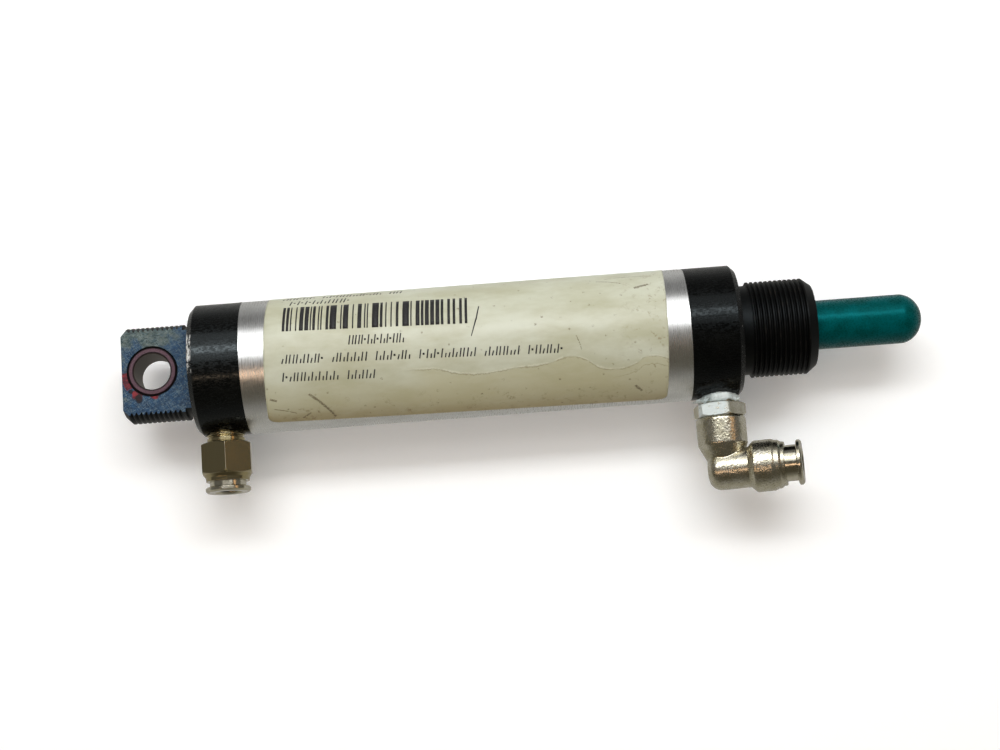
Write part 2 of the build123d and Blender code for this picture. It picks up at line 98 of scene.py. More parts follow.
# Scratches: start, end and half width. The short ones break up into specks, the long ones less so.
SHORT_SCRATCHES = (
    ((11.7, 9.8), (17.8, 2.0), 0.22), ((9.0, 1.6), (11.0, 3.4), 0.14),
    ((86.0, 39.5), (92.0, 38.0), 0.08), ((95.5, 35.5), (99.0, 36.6), 0.24),
    ((80.0, 22.0), (81.2, 18.6), 0.06), ((95.0, 7.4), (96.6, 5.4), 0.22), ((1.2, 8.4), (2.6, 7.9), 0.2),
)
LONG_SCRATCHES = (((2.0, 5.4), (7.4, 3.8), 0.08), ((88.0, 41.0), (98.0, 41.5), 0.06))
# The bar pattern: its start, end, lower edge and upper edge, and the width of its thinnest bar.
BAR_PATTERN = (4.7, 52.4, 26.5, 35.0)
BAR_MODULE = 0.34
# Rows of marks: start, end, lower edge, upper edge, and the pitch of the marks.
MARK_ROWS = (
    (4.0, 36.0, 40.0, 42.0, 1.75), (6.2, 24.5, 36.2, 38.6, 2.0), (21.9, 36.5, 22.1, 24.6, 1.62),
    (4.7, 78.6, 17.8, 20.1, 1.85), (4.7, 31.8, 13.2, 15.5, 1.85),
)
MARK_PEN = 0.34
# A stroke of a pen, in two parts: start, end, width, steps, and taper.
PEN_STROKE = (((55.3, 31.6), (54.5, 27.4), 0.30, 4, 1.2), ((54.5, 27.6), (53.2, 23.0), 0.36, 4, 0.6))
INK_LOW = -0.02
INK_HIGH = 0.012

# Loose ends of tape: the angle in radians from +X towards +Z, then the length, width and curl.
LOOSE_ENDS = (
    (2.55, 2.0, 1.2, 0.5), (2.15, 1.5, 1.0, -0.4), (2.9, 1.7, 0.9, 0.9), (1.2, 0.9, 1.1, 0.3),
    (0.6, 1.1, 0.9, 0.3), (-1.9, 1.6, 1.0, 0.4),
)
LOOSE_END_D = 18.3
LOOSE_END_LIFT = 0.04

# ---- camera, floor and light: MIDDLE, the lights, FLOOR_SIZE and BACKDROP_ are in metres ----
CAMERA_PLACE = Vector((90.6, -88.0, 459.7))
CAMERA_ELEVATION = math.radians(80.0)
CAMERA_ROLL = math.radians(4.33)
CAMERA_LENS = 63.7
MIDDLE = Vector((0.09, 0.0, 0.0))
FLOOR_Z = -BODY_R
FLOOR_SIZE = 8.0
FLOOR_GLOW = (0.14, 1.0)
FLOOR_GLOW_GROWS = (230.0, 650.0)
BACKDROP_R = 3.9
BACKDROP_HEIGHT = 7.0
# Room tones by degrees from overhead: negative towards the ports, past 90 below the horizon.
ROOM_TONES = (
    (-180, (0.40, 0.39, 0.36)), (-120, (0.42, 0.41, 0.37)), (-98, (0.34, 0.33, 0.29)),
    (-88, (0.23, 0.225, 0.205)), (-76, (0.17, 0.162, 0.14)), (-66, (0.095, 0.088, 0.066)),
    (-30, (0.085, 0.077, 0.058)), (-10, (0.13, 0.125, 0.112)), (50, (0.15, 0.148, 0.14)),
    (90, (0.20, 0.20, 0.195)), (118, (0.50, 0.50, 0.48)), (180, (0.40, 0.39, 0.36)),
)
# Name, place, width along X, the other width, watts, colour, and whether reflections show it.
LIGHTS = (
    ("softbox", (0.09, 0.38, 0.60), 0.9, 0.68, 2.5, (1.0, 1.0, 1.0), True),
    ("softbox_core", (0.09, 0.29, 0.58), 0.8, 0.13, 2.2, (0.95, 0.98, 1.0), True),
    ("warm_strip", (-0.24, -0.265, 0.62), 0.66, 0.05, 0.44, (1.0, 0.68, 0.46), True),
    ("warm_lamp", (0.71, 0.16, 0.56), 0.18, 0.3, 0.17, (1.0, 0.56, 0.24), True),
    ("fill", (0.09, -0.05, 1.10), 1.6, 1.6, 5.0, (1.0, 0.995, 0.98), False),
)


# ================= material building =================
def srgb(red, green, blue):
    """A linear colour from 0-255 screen values."""
    def line(value):
        value /= 255
        return value / 12.92 if value <= 0.04045 else ((value + 0.055) / 1.055) ** 2.4
    return (line(red), line(green), line(blue), 1.0)


class Shader:
    """A node material under construction. Numbers, colours and node outputs are all taken as inputs."""

    def __init__(self, name):
        self.mat = bpy.data.materials.new(name)
        self.mat.use_nodes = True
        self.tree = self.mat.node_tree
        self.tree.nodes.clear()
        self.out = self.tree.nodes.new("ShaderNodeOutputMaterial")
        self.bsdf = self.tree.nodes.new("ShaderNodeBsdfPrincipled")
        self.tree.links.new(self.bsdf.outputs[0], self.out.inputs["Surface"])
        self.place = self.tree.nodes.new("ShaderNodeTexCoord").outputs["Object"]

    def feed(self, socket, value):
        """Links a node output to a socket, or sets a number or colour on it."""
        if isinstance(value, bpy.types.NodeSocket):
            self.tree.links.new(value, socket)
        elif value is not None:
            socket.default_value = value

    def set(self, **values):
        """Feeds the surface's sockets by name, with _ for a space."""
        for key, value in values.items():
            self.feed(self.bsdf.inputs[key.replace("_", " ")], value)

    def math(self, operation, a, b=None):
        node = self.tree.nodes.new("ShaderNodeMath")
        node.operation = operation
        self.feed(node.inputs[0], a)
        self.feed(node.inputs[1], b)
        return node.outputs[0]

    def times(self, a, b):
        return self.math("MULTIPLY", a, b)

    def plus(self, a, b):
        return self.math("ADD", a, b)

    def minus(self, a, b):
        return self.math("SUBTRACT", a, b)

    def stretched(self, x, y, z):
        """Place in the row frame, in units of 1/x, 1/y and 1/z millimetres."""
        node = self.tree.nodes.new("ShaderNodeVectorMath")
        node.operation = "MULTIPLY"
        self.feed(node.inputs[0], self.place)
        self.feed(node.inputs[1], (x / MM, y / MM, z / MM))
        return node.outputs["Vector"]

    def length(self, vector):
        node = self.tree.nodes.new("ShaderNodeVectorMath")
        node.operation = "LENGTH"
        self.feed(node.inputs[0], vector)
        return node.outputs["Value"]

    def mm(self):
        """x, y and z in millimetres."""
        node = self.tree.nodes.new("ShaderNodeSeparateXYZ")
        self.feed(node.inputs[0], self.stretched(1, 1, 1))
        return node.outputs

    def noise(self, vector, detail=3.0, rough=0.55, distortion=0.0, scale=1.0):
        """Smooth noise from 0 to 1, mostly near 0.5."""
        node = self.tree.nodes.new("ShaderNodeTexNoise")
        self.feed(node.inputs["Vector"], vector)
        node.inputs["Scale"].default_value = scale
        node.inputs["Detail"].default_value = detail
        node.inputs["Roughness"].default_value = rough
        node.inputs["Distortion"].default_value = distortion
        return node.outputs["Fac"]

    def cells(self, vector):
        """Distance to the nearest of many scattered points."""
        node = self.tree.nodes.new("ShaderNodeTexVoronoi")
        self.feed(node.inputs["Vector"], vector)
        node.inputs["Scale"].default_value = 1.0
        return node.outputs["Distance"]

    def between(self, value, low, high):
        """0 below low, 1 above high, smooth in between. Swap the two for the opposite."""
        node = self.tree.nodes.new("ShaderNodeMapRange")
        node.interpolation_type = "SMOOTHSTEP"
        self.feed(node.inputs["Value"], value)
        node.inputs["From Min"].default_value = min(low, high)
        node.inputs["From Max"].default_value = max(low, high)
        if low > high:
            node.inputs["To Min"].default_value = 1.0
            node.inputs["To Max"].default_value = 0.0
        return node.outputs["Result"]

    def mix(self, factor, a, b):
        """A colour from a to b as factor goes from 0 to 1."""
        node = self.tree.nodes.new("ShaderNodeMix")
        node.data_type = "RGBA"
        self.feed(node.inputs[0], factor)
        self.feed(node.inputs[6], a)
        self.feed(node.inputs[7], b)
        return node.outputs[2]

    def blend(self, factor, a, b):
        """A number from a to b as factor goes from 0 to 1."""
        node = self.tree.nodes.new("ShaderNodeMix")
        node.data_type = "FLOAT"
        self.feed(node.inputs[0], factor)
        self.feed(node.inputs[2], a)
        self.feed(node.inputs[3], b)
        return node.outputs[0]

    def all_of(self, *values):
        product = values[0]
        for value in values[1:]:
            product = self.times(product, value)
        return product

    def any_of(self, *values):
        highest = values[0]
        for value in values[1:]:
            highest = self.math("MAXIMUM", highest, value)
        return highest

    def near(self, value, middle, half_width, soften):
        """1 within half_width of middle, falling to 0 over soften."""
        away = self.math("ABSOLUTE", self.minus(value, middle))
        return self.between(away, half_width + soften, half_width)

    def spot(self, x, y, place, size, ragged):
        """A blot of about size at place. ragged, near 0.5, pushes its outline in and out."""
        dx = self.minus(x, place[0])
        dy = self.minus(y, place[1])
        reach = self.math("SQRT", self.plus(self.times(dx, dx), self.times(dy, dy)))
        push = self.times(self.minus(ragged, 0.5), 2.4 * size)
        return self.between(self.plus(reach, push), size * 1.15, size * 0.85)

    def scratch(self, x, y, start, end, width, ragged):
        """A thin line from start to end, broken where ragged is low."""
        along = Vector(end) - Vector(start)
        length = along.length
        along.normalize()
        dx = self.minus(x, start[0])
        dy = self.minus(y, start[1])
        run = self.plus(self.times(dx, along.x), self.times(dy, along.y))
        off = self.minus(self.times(dy, along.x), self.times(dx, along.y))
        bow = self.times(self.minus(run, length / 2), 0.16)
        off = self.plus(off, self.times(bow, bow))
        off = self.plus(off, self.times(self.minus(ragged, 0.5), 0.8))
        inside = self.near(run, length / 2, length / 2, 0.3)
        return self.all_of(inside, self.near(off, 0.0, width, width), self.between(ragged, 0.36, 0.5))

    def curve(self, value, points):
        """A curve through given (input, output) points, both from 0 to 1."""
        node = self.tree.nodes.new("ShaderNodeFloatCurve")
        line = node.mapping.curves[0]
        line.points[0].location = points[0]
        line.points[1].location = points[-1]
        for point in points[1:-1]:
            line.points.new(*point)
        node.mapping.update()
        self.feed(node.inputs["Value"], value)
        return node.outputs[0]

    def rounded(self, radius_mm):
        """The surface's direction with its sharp edges rounded off."""
        node = self.tree.nodes.new("ShaderNodeBevel")
        node.samples = 6
        node.inputs["Radius"].default_value = radius_mm * MM
        return node.outputs[0]

    def edges(self, rounded):
        """1 along sharp edges, where the rounded direction leaves the true one."""
        true = self.tree.nodes.new("ShaderNodeNewGeometry").outputs["True Normal"]
        node = self.tree.nodes.new("ShaderNodeVectorMath")
        node.operation = "DOT_PRODUCT"
        self.feed(node.inputs[0], rounded)
        self.feed(node.inputs[1], true)
        return self.between(node.outputs["Value"], 0.985, 0.9)

    def bump(self, height, depth_mm, strength, after=None):
        """The surface's direction with a relief on it, on top of the direction after."""
        node = self.tree.nodes.new("ShaderNodeBump")
        node.inputs["Strength"].default_value = strength
        node.inputs["Distance"].default_value = depth_mm * MM
        self.feed(node.inputs["Height"], height)
        if after is not None:
            self.feed(node.inputs["Normal"], after)
        return node.outputs["Normal"]


def anodised(name, dyed, shine):
    """Black anodised aluminium, worn, with painted highlight flecks all over and a painted highlight on
    the rear rim.
    dyed puts layout dye on its flats, and shine is its specular level."""
    s = Shader(name)
    x, y, z = s.mm()
    radius = s.length(s.stretched(0, 1, 1))
    cloud = s.noise(s.stretched(0.16, 0.16, 0.16), 5.0, 0.6)
    flecks = s.noise(s.stretched(0.7, 2.6, 2.6), 3.0, 0.7)
    color = s.mix(s.between(cloud, 0.3, 0.75), srgb(4, 4, 4), srgb(9, 9, 8))
    # Pale blue-grey flecks all over the surface: painted highlight flecks that stand in for glints.
    painted_glint_flecks = s.all_of(s.between(flecks, 0.62, 0.76), s.between(cloud, 0.48, 0.62), 0.3)
    color = s.mix(painted_glint_flecks, color, srgb(60, 62, 66))
    rubbed = s.noise(s.stretched(1.7, 0.35, 0.35), 4.0, 0.7)
    crest = s.between(radius, THREAD_R - 0.12, THREAD_R - 0.02)
    within_thread = s.between(radius, THREAD_R + 0.3, THREAD_R + 0.1)
    crest = s.all_of(crest, within_thread, s.between(rubbed, 0.5, 0.75), 0.14)
    color = s.mix(crest, color, srgb(84, 74, 62))
    # Near-white on the rims: bare metal, and on the rear arc a painted highlight as well.
    worn = rim_wear_and_highlight(s, x, y, z, radius)
    color = s.mix(worn, color, srgb(226, 226, 224))
    metal = s.times(worn, 0.2)
    sparkle = s.noise(s.stretched(1.1, 2.4, 2.4), 3.0, 0.7)
    rough = s.blend(s.between(sparkle, 0.44, 0.56), 0.07, 0.38)
    rough = s.blend(within_thread, rough, 0.42)
    if dyed:
        flat = s.near(s.math("ABSOLUTE", z), TANG_Z, 0.06, 0.05)
        flat = s.times(flat, s.between(x, REAR_NECK_X + 2.4, REAR_NECK_X + 1.9))
        dye, grain = layout_dye(s, x, y)
        color = s.mix(flat, color, dye)
        rough = s.blend(flat, rough, s.blend(s.between(grain, 0.3, 0.7), 0.38, 0.6))
        metal = s.blend(flat, metal, 0.12)
    rings = s.noise(s.stretched(9, 0.25, 0.25), 2.0)
    height = s.plus(s.times(rings, 0.5), sparkle)
    s.set(Base_Color=color, Roughness=rough, Metallic=metal)
    s.set(Normal=s.bump(height, 0.014, 0.8, s.rounded(0.12)))
    s.bsdf.inputs["Specular IOR Level"].default_value = shine
    s.bsdf.inputs["Specular Tint"].default_value = (0.84, 0.96, 1.0, 1.0)
    return s.mat


def rim_wear_and_highlight(s, x, y, z, radius):
    """1 where the heads' outer rims are painted pale: a rubbed arc on the rear one, which is bare metal
    and a painted highlight too, and nicks on both, which are bare metal.
    """
    round_x = s.math("DEGREES", s.math("ARCTAN2", y, z))
    chips = s.noise(s.stretched(0.9, 0.5, 0.5), 5.0, 0.75)
    specks = s.noise(s.stretched(2.4, 2.4, 2.4), 3.0, 0.6)
    rear_edge = s.near(x, REAR_HEAD_X + HALF_CHAMFER, 0.4, 0.45)
    front_edge = s.near(x, FRONT_HEAD_X - HALF_CHAMFER, 0.4, 0.45)
    # The rear arc faces the lights, so its near-white is a painted highlight as well as rubbed bare
    # metal.
    arc = s.all_of(rear_edge, s.near(round_x, 9.0, 15.0, 7.0), s.between(chips, 0.46, 0.54))
    nicks = s.all_of(s.any_of(rear_edge, front_edge), s.between(specks, 0.68, 0.74))
    return s.times(s.any_of(arc, nicks), s.between(radius, BODY_R - 1.5, BODY_R - 0.9))


def layout_dye(s, x, y):
    """Blue marking-out dye on the milled flats, rubbed through in places and darker next to the head as
    painted shade, and its grain.
    """
    patch = s.noise(s.stretched(0.14, 0.14, 0.14), 5.0, 0.65, 0.4)
    grain = s.noise(s.stretched(0.8, 1.5, 0.6), 4.0, 0.6)
    dye = s.mix(s.between(grain, 0.25, 0.8), srgb(14, 36, 62), srgb(38, 70, 102))
    bare = s.mix(s.between(grain, 0.35, 0.7), srgb(44, 58, 60), srgb(96, 104, 98))
    # More rubbed-through, paler dye towards +Y and away from the head, so the dye is darker next to the
    # head: painted shade from the head.
    rub_lean_and_head_shade = s.times(s.minus(y, x), 0.010)
    dye = s.mix(s.between(s.plus(patch, rub_lean_and_head_shade), 0.5, 0.66), dye, bare)
    strokes = (
        (0.5, 0.55, 0.05, srgb(140, 160, 164)), (-0.35, 0.9, 0.04, srgb(118, 148, 166)),
        (1.2, 0.75, 0.04, srgb(18, 28, 42)), (-1.0, 0.7, 0.05, srgb(150, 166, 160)),
    )
    for angle, scale, width, tone in strokes:
        dye = s.mix(s.times(brushed(s, x, y, angle, scale, width), 0.3), dye, tone)
    pits = s.cells(s.stretched(0.9, 0.9, 0.9))
    dye = s.mix(s.between(pits, 0.13, 0.06), dye, srgb(18, 26, 36))
    return old_paint(s, x, y, grain, dye), grain


def brushed(s, x, y, angle, scale, width):
    """1 on thin lines that run at an angle across the flat: scale sets how close they are."""
    turn_x, turn_y = math.cos(angle), math.sin(angle)
    along = s.plus(s.times(x, turn_x * 0.09), s.times(y, turn_y * 0.09))
    across = s.minus(s.times(y, turn_x * scale), s.times(x, turn_y * scale))
    pair = s.tree.nodes.new("ShaderNodeCombineXYZ")
    s.feed(pair.inputs[0], along)
    s.feed(pair.inputs[1], across)
    lines = s.noise(pair.outputs[0], 2.0, 0.6, scale=3.0)
    return s.between(s.math("ABSOLUTE", s.minus(lines, 0.56)), width * 0.5, 0.0)


def old_paint(s, x, y, grain, dye):
    """The dye with ragged spots of red paint, and dark ones beside them, round the pivot bore."""
    ragged = s.noise(s.stretched(0.5, 0.42, 0.42), 2.0, 0.4)
    torn = s.times(s.minus(ragged, 0.5), 1.5)
    radius = s.length(s.stretched(1, 1, 0))
    round_z = s.math("DEGREES", s.math("ARCTAN2", y, x))
    turned = s.plus(round_z, s.times(torn, 12.0))
    crescent = s.times(s.near(s.plus(radius, torn), 7.2, 0.85, 0.2), s.near(turned, -163.0, 16.0, 3.0))
    red = s.any_of(
        crescent,
        s.spot(x, y, (-3.9, -6.2), 1.3, ragged),
        s.spot(x, y, (0.6, -6.6), 0.95, ragged),
    )
    paint = s.mix(s.between(grain, 0.4, 0.62), srgb(70, 12, 18), srgb(142, 34, 34))
    dye = s.mix(s.times(red, 0.9), dye, paint)
    dark = s.any_of(s.spot(x, y, (-3.8, -7.3), 1.0, ragged), s.spot(x, y, (-5.9, -5.0), 0.5, ragged))
    return s.mix(s.times(dark, 0.9), dye, srgb(24, 12, 12))


def tube_metal():
    """Drawn and polished aluminium with faint lines round the tube."""
    s = Shader("tube_aluminium_look")
    grit = s.noise(s.stretched(1.2, 5.0, 5.0), 3.0, 0.7)
    rings = s.noise(s.stretched(7, 0.12, 0.12), 3.0, 0.7)
    cloud = s.noise(s.stretched(0.1, 0.2, 0.2), 4.0)
    specks = s.noise(s.stretched(1.4, 1.4, 1.4), 4.0, 0.8)
    color = s.mix(s.between(cloud, 0.3, 0.7), srgb(212, 212, 211), srgb(230, 230, 230))
    stain = s.between(specks, 0.66, 0.78)
    color = s.mix(s.times(stain, 0.35), color, srgb(96, 92, 86))
    rough = s.blend(s.between(rings, 0.3, 0.7), 0.25, 0.32)
    s.set(Base_Color=color, Roughness=rough, Metallic=1.0)
    s.set(Normal=s.bump(s.plus(rings, s.times(grit, 0.7)), 0.014, 0.08))
    return s.mat


def nickel(name, look):
    """Nickel plate over brass. look is cast for the pebbled elbow, taped for the stud with tape smeared
    on it, tarnished for the brassy straight fitting, and turned for the rest."""
    s = Shader(name)
    x, y, z = s.mm()
    cloud = s.noise(s.stretched(0.35, 0.35, 0.35), 4.0)
    fine = s.noise(s.stretched(2.4, 2.4, 2.4), 5.0, 0.65)
    color = s.mix(s.between(cloud, 0.35, 0.7), srgb(192, 186, 164), srgb(216, 211, 196))
    color = s.mix(s.times(s.between(fine, 0.52, 0.72), 0.22), color, srgb(112, 100, 68))
    if look == "tarnished":
        color = s.mix(s.blend(s.between(cloud, 0.3, 0.7), 0.6, 0.8), color, srgb(160, 144, 92))
    rounded = s.rounded(0.16)
    if look == "cast":
        pebble = s.noise(s.stretched(3.0, 3.0, 3.0), 3.0, 0.6)
        normal = s.bump(pebble, 0.045, 0.6)
        rough = s.blend(s.between(fine, 0.3, 0.7), 0.2, 0.32)
    else:
        marks = s.noise(s.stretched(2.6, 4.0, 2.6), 4.0, 0.65)
        normal = s.bump(marks, 0.03, 0.5, rounded)
        rough = s.blend(s.between(fine, 0.3, 0.7), 0.09, 0.2)
        # Light lines along the sharp edges: worn edges, and a painted highlight where the edges catch the
        # light.
        edge = s.times(s.edges(rounded), s.between(marks, 0.36, 0.5))
        color = s.mix(s.times(edge, 0.7), color, srgb(240, 236, 222))
    metal = 1.0
    if look == "taped":
        smear = s.noise(s.stretched(0.9, 1.6, 0.9), 4.0, 0.6)
        face = s.between(s.minus(x, STUD_X), 2.6, 0.4)
        white = s.all_of(face, s.between(z, 1.0, 2.6), s.between(smear, 0.32, 0.44))
        white = s.times(white, s.between(y, -STUD_HEX_D + 0.6, -STUD_HEX_D + 0.2))
        color = s.mix(white, color, s.mix(smear, srgb(184, 198, 200), srgb(226, 232, 230)))
        metal = s.minus(1.0, white)
        rough = s.blend(white, rough, 0.5)
    s.set(Base_Color=color, Roughness=rough, Metallic=metal, Normal=normal)
    return s.mat


def label_place(s):
    """How far along and up the flat label a point is, from its lower left corner."""
    x, y, z = s.mm()
    ahead = s.minus(x, LABEL_X0)
    over = s.minus(s.times(s.math("ARCTAN2", y, z), LABEL_R), LABEL_LOW_ARC)
    tilt_cos, tilt_sin = math.cos(LABEL_TILT), math.sin(LABEL_TILT)
    along = s.minus(s.times(ahead, tilt_cos), s.times(over, tilt_sin))
    up = s.plus(s.times(ahead, tilt_sin), s.times(over, tilt_cos))
    return along, up


def height_over_tide(s, along, up, ragged):
    """How far a place is above the dried stain's edge, which ragged, near 0.75, pushes about."""
    points = [(u / LABEL_LENGTH, q / LABEL_HEIGHT) for u, q in TIDE_LINE]
    line = s.times(s.curve(s.math("DIVIDE", along, LABEL_LENGTH), points), LABEL_HEIGHT)
    shake = s.times(s.minus(ragged, 0.75), 1.5)
    return s.plus(s.minus(up, line), shake)


def paper():
    """Aged cream label stock: darker and browner towards its lower edge, with a dried stain, creases and
    dirt.
    """
    s = Shader("label_paper_look")
    along, up = label_place(s)
    cloud = s.noise(s.stretched(0.05, 0.12, 0.12), 5.0, 0.6)
    fibre = s.noise(s.stretched(2.2, 2.2, 2.2), 5.0, 0.7)
    blotch = s.noise(s.stretched(0.45, 0.45, 0.45), 4.0, 0.6, 0.5)
    broad = s.noise(s.stretched(0.09, 0.2, 0.2), 5.0, 0.65, 0.6)
    above = height_over_tide(s, along, up, s.plus(blotch, s.times(fibre, 0.5)))
    seen = s.between(along, TIDE_SEEN_FROM - 6.0, TIDE_SEEN_FROM + 4.0)
    below = s.times(s.between(above, 0.15, -0.15), seen)
    color = s.mix(s.between(cloud, 0.3, 0.7), srgb(174, 173, 147), srgb(196, 198, 180))
    color = s.mix(s.times(below, 0.32), color, srgb(182, 174, 134))
    color = label_lower_tint(s, up, broad, color)
    edge = s.all_of(s.near(above, 0.05, 0.05, 0.16), seen, s.between(blotch, 0.38, 0.5))
    near_end = s.between(along, 88.0, 94.0)
    second = s.all_of(s.near(above, -2.0, 0.02, 0.16), near_end, s.between(broad, 0.42, 0.5))
    color = s.mix(s.times(s.any_of(edge, second), 0.42), color, srgb(120, 104, 70))
    # A paler band just above the stain's edge, along the crease.
    pale_above_tide = s.all_of(s.near(above, 0.45, 0.05, 0.2), seen, s.between(blotch, 0.4, 0.55))
    color = s.mix(s.times(pale_above_tide, 0.35), color, srgb(222, 220, 200))
    color = label_dirt(s, along, up, fibre, blotch, color)
    creases = s.noise(s.stretched(0.16, 0.5, 0.5), 3.0)
    height = s.plus(s.plus(s.times(fibre, 0.2), creases), s.times(below, -0.9))
    s.set(Base_Color=color, Roughness=s.blend(fibre, 0.27, 0.42), Normal=s.bump(height, 0.05, 0.5))
    s.bsdf.inputs["Specular IOR Level"].default_value = 0.4
    return s.mat


def label_lower_tint(s, up, broad, color):
    """The paper's colour, yellower in its lower half and darker brown along its lower edge."""
    level = s.plus(up, s.times(broad, 6.0))
    color = s.mix(s.times(s.between(level, 20.0, 6.0), 0.6), color, srgb(184, 176, 134))
    return s.mix(s.times(s.between(level, 9.5, 2.5), 0.75), color, srgb(154, 136, 90))


def label_dirt(s, along, up, fibre, blotch, color):
    """The paper's colour with dark specks, rubs near its lower and right edges, and scratches."""
    spots = s.between(s.cells(s.stretched(0.32, 0.32, 0.32)), 0.16, 0.06)
    spots = s.times(spots, s.between(fibre, 0.45, 0.6))
    color = s.mix(s.times(spots, 0.75), color, srgb(92, 76, 50))
    soiled = s.any_of(s.between(up, 12.0, 2.0), s.between(along, 88.0, 100.0))
    rub = s.all_of(s.between(blotch, 0.54, 0.66), s.between(fibre, 0.44, 0.6), soiled)
    color = s.mix(s.times(rub, 0.65), color, srgb(118, 98, 62))
    scratches = s.any_of(
        *(s.scratch(along, up, *scratch, fibre) for scratch in SHORT_SCRATCHES),
        *(s.scratch(along, up, *scratch, blotch) for scratch in LONG_SCRATCHES),
    )
    return s.mix(s.times(scratches, 0.75), color, srgb(84, 70, 44))


def ink():
    """Black print, worn to grey in specks."""
    s = Shader("label_ink_look")
    worn = s.noise(s.stretched(3.5, 3.5, 3.5), 4.0, 0.7)
    color = s.mix(s.between(worn, 0.48, 0.8), srgb(26, 26, 28), srgb(70, 68, 62))
    s.set(Base_Color=color, Roughness=s.blend(worn, 0.4, 0.6))
    return s.mat


def plain_metal(name, dark, light, rough, stretch):
    """A turned or ground metal: stretch sets which way its marks run."""
    s = Shader(name)
    marks = s.noise(s.stretched(*stretch), 4.0, 0.65)
    cloud = s.noise(s.stretched(0.3, 0.3, 0.3), 4.0)
    color = s.mix(s.between(cloud, 0.3, 0.7), dark, light)
    s.set(Base_Color=color, Metallic=1.0, Roughness=s.blend(marks, rough, rough + 0.12))
    s.set(Normal=s.bump(marks, 0.012, 0.4))
    return s.mat


def soft(name, dark, light, rough, grain=1.2, depth=0.03):
    """Rubber, moulded plastic and sealing tape: a mottled colour and a fine skin."""
    s = Shader(name)
    skin = s.noise(s.stretched(grain, grain, grain), 4.0, 0.6)
    cloud = s.noise(s.stretched(0.2, 0.2, 0.2), 3.0)
    color = s.mix(s.between(cloud, 0.3, 0.7), dark, light)
    s.set(Base_Color=color, Roughness=s.blend(s.between(skin, 0.3, 0.7), rough, rough + 0.12))
    s.set(Normal=s.bump(skin, depth, 0.5))
    return s.mat


def vinyl():
    """Dipped green vinyl: soft gloss, slight sag ripples and dust."""
    s = Shader("cap_vinyl_look")
    ripple = s.noise(s.stretched(0.22, 0.3, 0.3), 2.0, 0.5)
    skin = s.noise(s.stretched(2.2, 2.2, 2.2), 4.0, 0.7)
    color = s.mix(s.between(ripple, 0.3, 0.7), srgb(0, 58, 56), srgb(0, 72, 73))
    dust = s.times(s.between(skin, 0.6, 0.75), 0.12)
    color = s.mix(dust, color, srgb(30, 120, 116))
    s.set(Base_Color=color, Roughness=s.blend(s.between(skin, 0.3, 0.7), 0.24, 0.32))
    height = s.plus(ripple, s.times(skin, 0.03))
    s.set(Normal=s.bump(height, 0.25, 0.5))
    s.bsdf.inputs["Specular IOR Level"].default_value = 0.3
    s.bsdf.inputs["Specular Tint"].default_value = (0.03, 0.85, 0.95, 1.0)
    return s.mat


def bushing_metal():
    """Dark oil-filled bronze with a purple-brown face, and black rings of painted shade at its mouth and
    round its rim.
    """
    s = Shader("bushing_look")
    radius = s.length(s.stretched(1, 1, 0))
    grain = s.noise(s.stretched(3.0, 3.0, 3.0), 5.0, 0.7)
    color = s.mix(s.between(grain, 0.3, 0.7), srgb(62, 40, 50), srgb(88, 60, 70))
    # Black rings at the mouth and round the rim: painted shade in the chamfers and the gap round the
    # bushing.
    mouth_shade = s.between(radius, 5.3, 5.05)
    rim = s.between(radius, BUSH_R - 0.35, BUSH_R - 0.18)
    color = s.mix(s.times(s.any_of(mouth_shade, rim), 0.9), color, srgb(26, 20, 20))
    bore = s.between(radius, 4.95, 4.8)
    color = s.mix(bore, color, s.mix(grain, srgb(58, 50, 44), srgb(96, 86, 76)))
    s.set(Base_Color=color, Metallic=0.4, Roughness=s.blend(grain, 0.42, 0.6))
    s.set(Normal=s.bump(grain, 0.03, 0.5))
    return s.mat


LOOKS = {
    "rear": anodised("anodised_rear_look", True, 0.26),
    "front": anodised("anodised_front_look", False, 0.13),
    "tube": tube_metal(),
    "paper": paper(),
    "ink": ink(),
    "nickel": nickel("nickel_look", "turned"),
    "taped": nickel("nickel_taped_look", "taped"),
    "tarnished": nickel("nickel_tarnished_look", "tarnished"),
    "cast": nickel("nickel_cast_look", "cast"),
    "bushing": bushing_metal(),
    "bronze": plain_metal("bronze_look", srgb(140, 104, 62), srgb(170, 132, 84), 0.35, (1, 5, 5)),
    "steel": plain_metal("rod_steel_look", srgb(176, 177, 180), srgb(200, 201, 204), 0.12, (9, 0.4, 0.4)),
    "stainless": plain_metal(
        "spring_stainless_look", srgb(160, 160, 160), srgb(190, 190, 190), 0.2, (2, 2, 2)
    ),
    "piston": plain_metal("piston_look", srgb(180, 180, 182), srgb(204, 204, 206), 0.28, (8, 0.3, 0.3)),
    "nut": plain_metal("nut_look", srgb(140, 138, 130), srgb(168, 166, 158), 0.3, (2, 2, 2)),
    "rubber": soft("seal_rubber_look", srgb(20, 20, 20), srgb(32, 31, 30), 0.4),
    "urethane": soft("wiper_look", srgb(46, 40, 34), srgb(62, 54, 44), 0.4),
    "acetal": soft("wear_ring_look", srgb(204, 196, 168), srgb(216, 208, 182), 0.45),
    "ptfe": soft("ptfe_look", srgb(176, 188, 188), srgb(228, 234, 232), 0.42, 2.6, 0.14),
    "vinyl": vinyl(),
}
